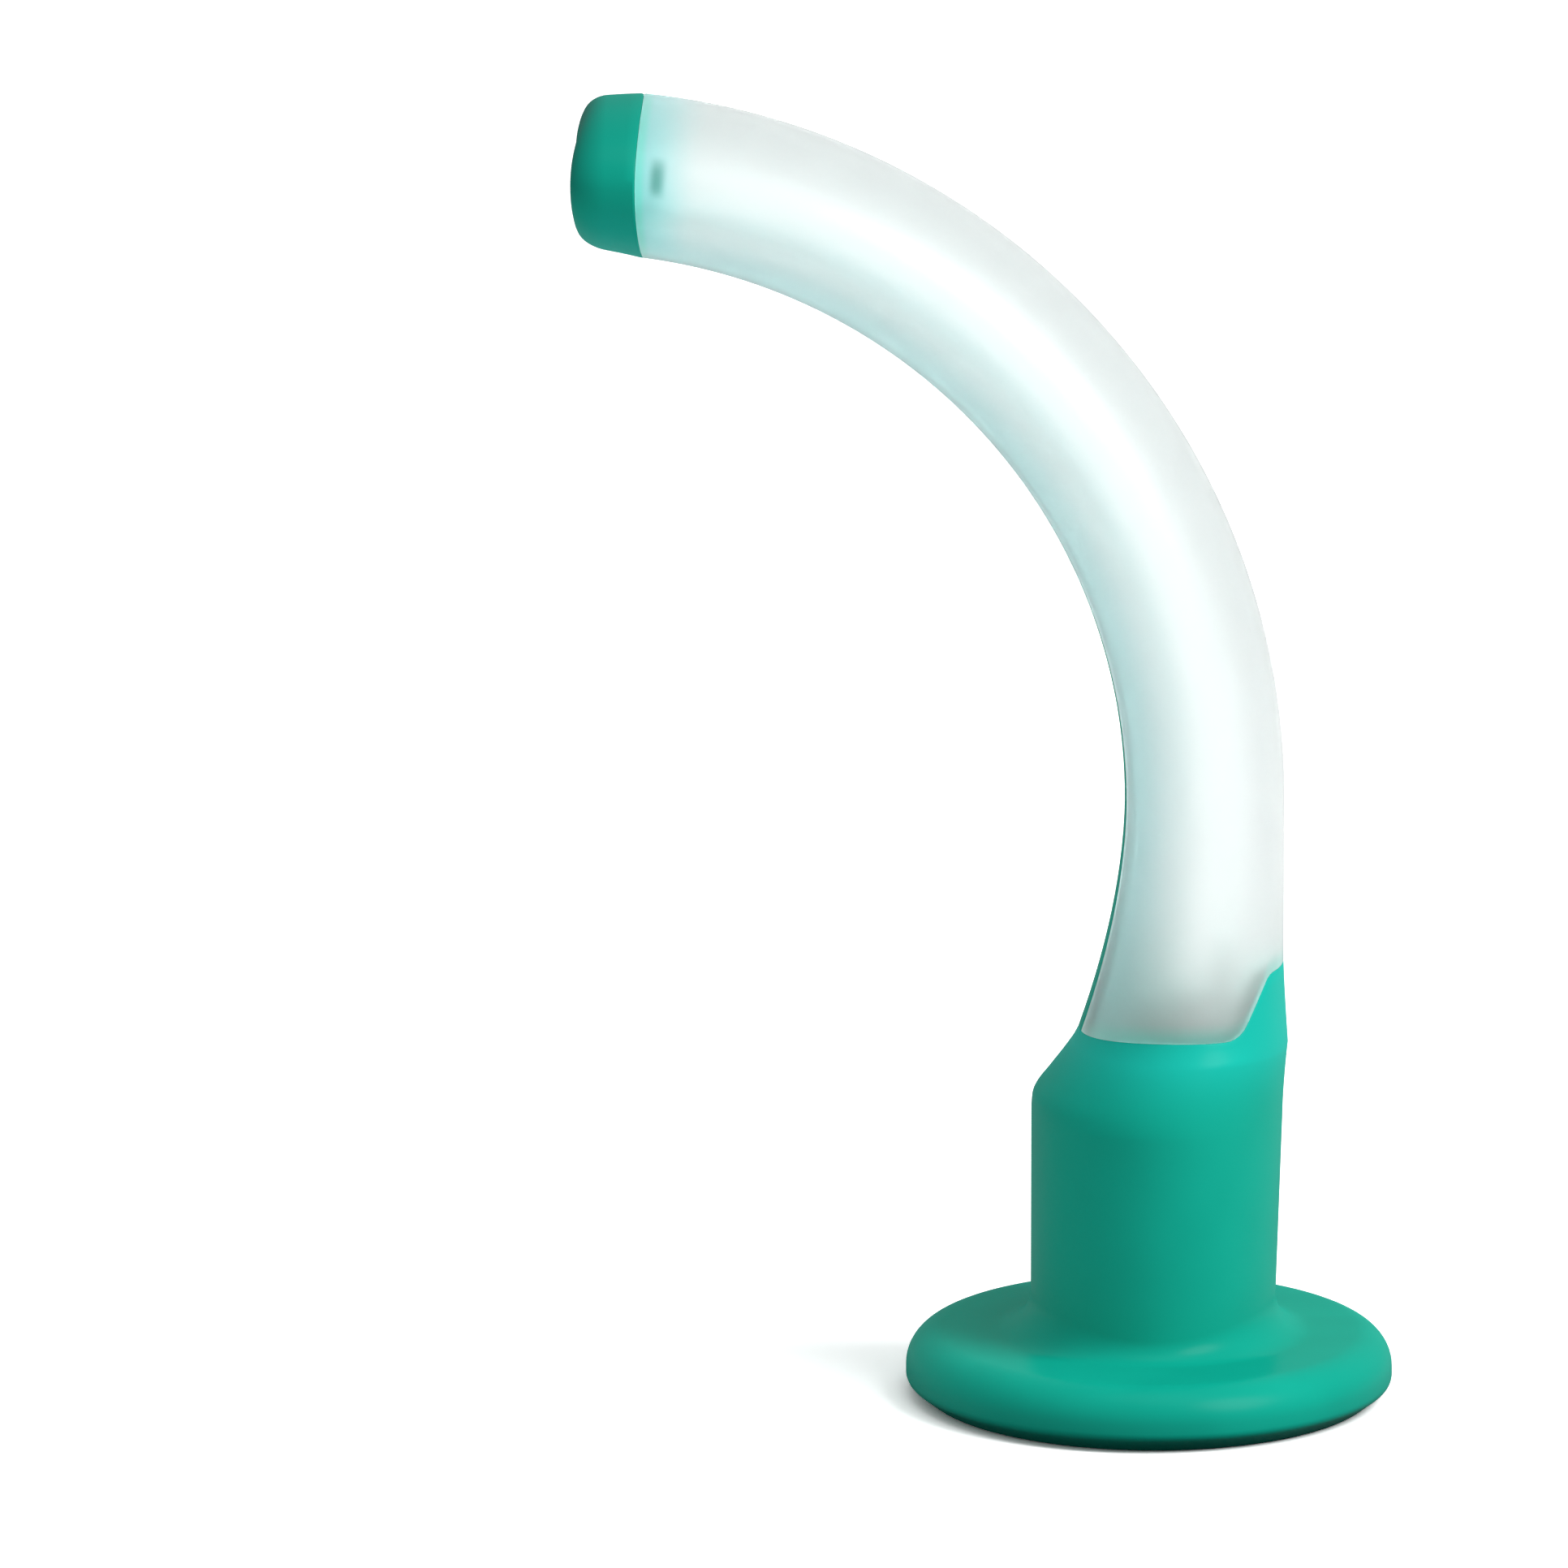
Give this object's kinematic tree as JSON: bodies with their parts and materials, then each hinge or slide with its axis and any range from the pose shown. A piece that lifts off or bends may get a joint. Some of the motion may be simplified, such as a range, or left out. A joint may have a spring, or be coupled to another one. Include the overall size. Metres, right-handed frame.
{
  "type": "oropharyngeal airway",
  "caption": "Curved oral airway: a milky see-through oval tube with a soft green flange, bite block, stripe and tip moulded round it.",
  "frame": {"origin": "middle of the flange's opening, level with the rim that the airway stands on", "axes": "+Z out of the flange along the bite block, -X towards the side the tube bends to, Y across the tube, with y = 0 the mirror plane"},
  "size_m": [0.0524, 0.0414, 0.0838],
  "materials": {
    "clear_polypropylene": "milky translucent, smooth moulded",
    "green_elastomer": "satin moulded elastomer"
  },
  "bodies": {
    "root": {"airway_tube": "clear_polypropylene", "soft_overmould": "green_elastomer"}
  },
  "joints": []
}
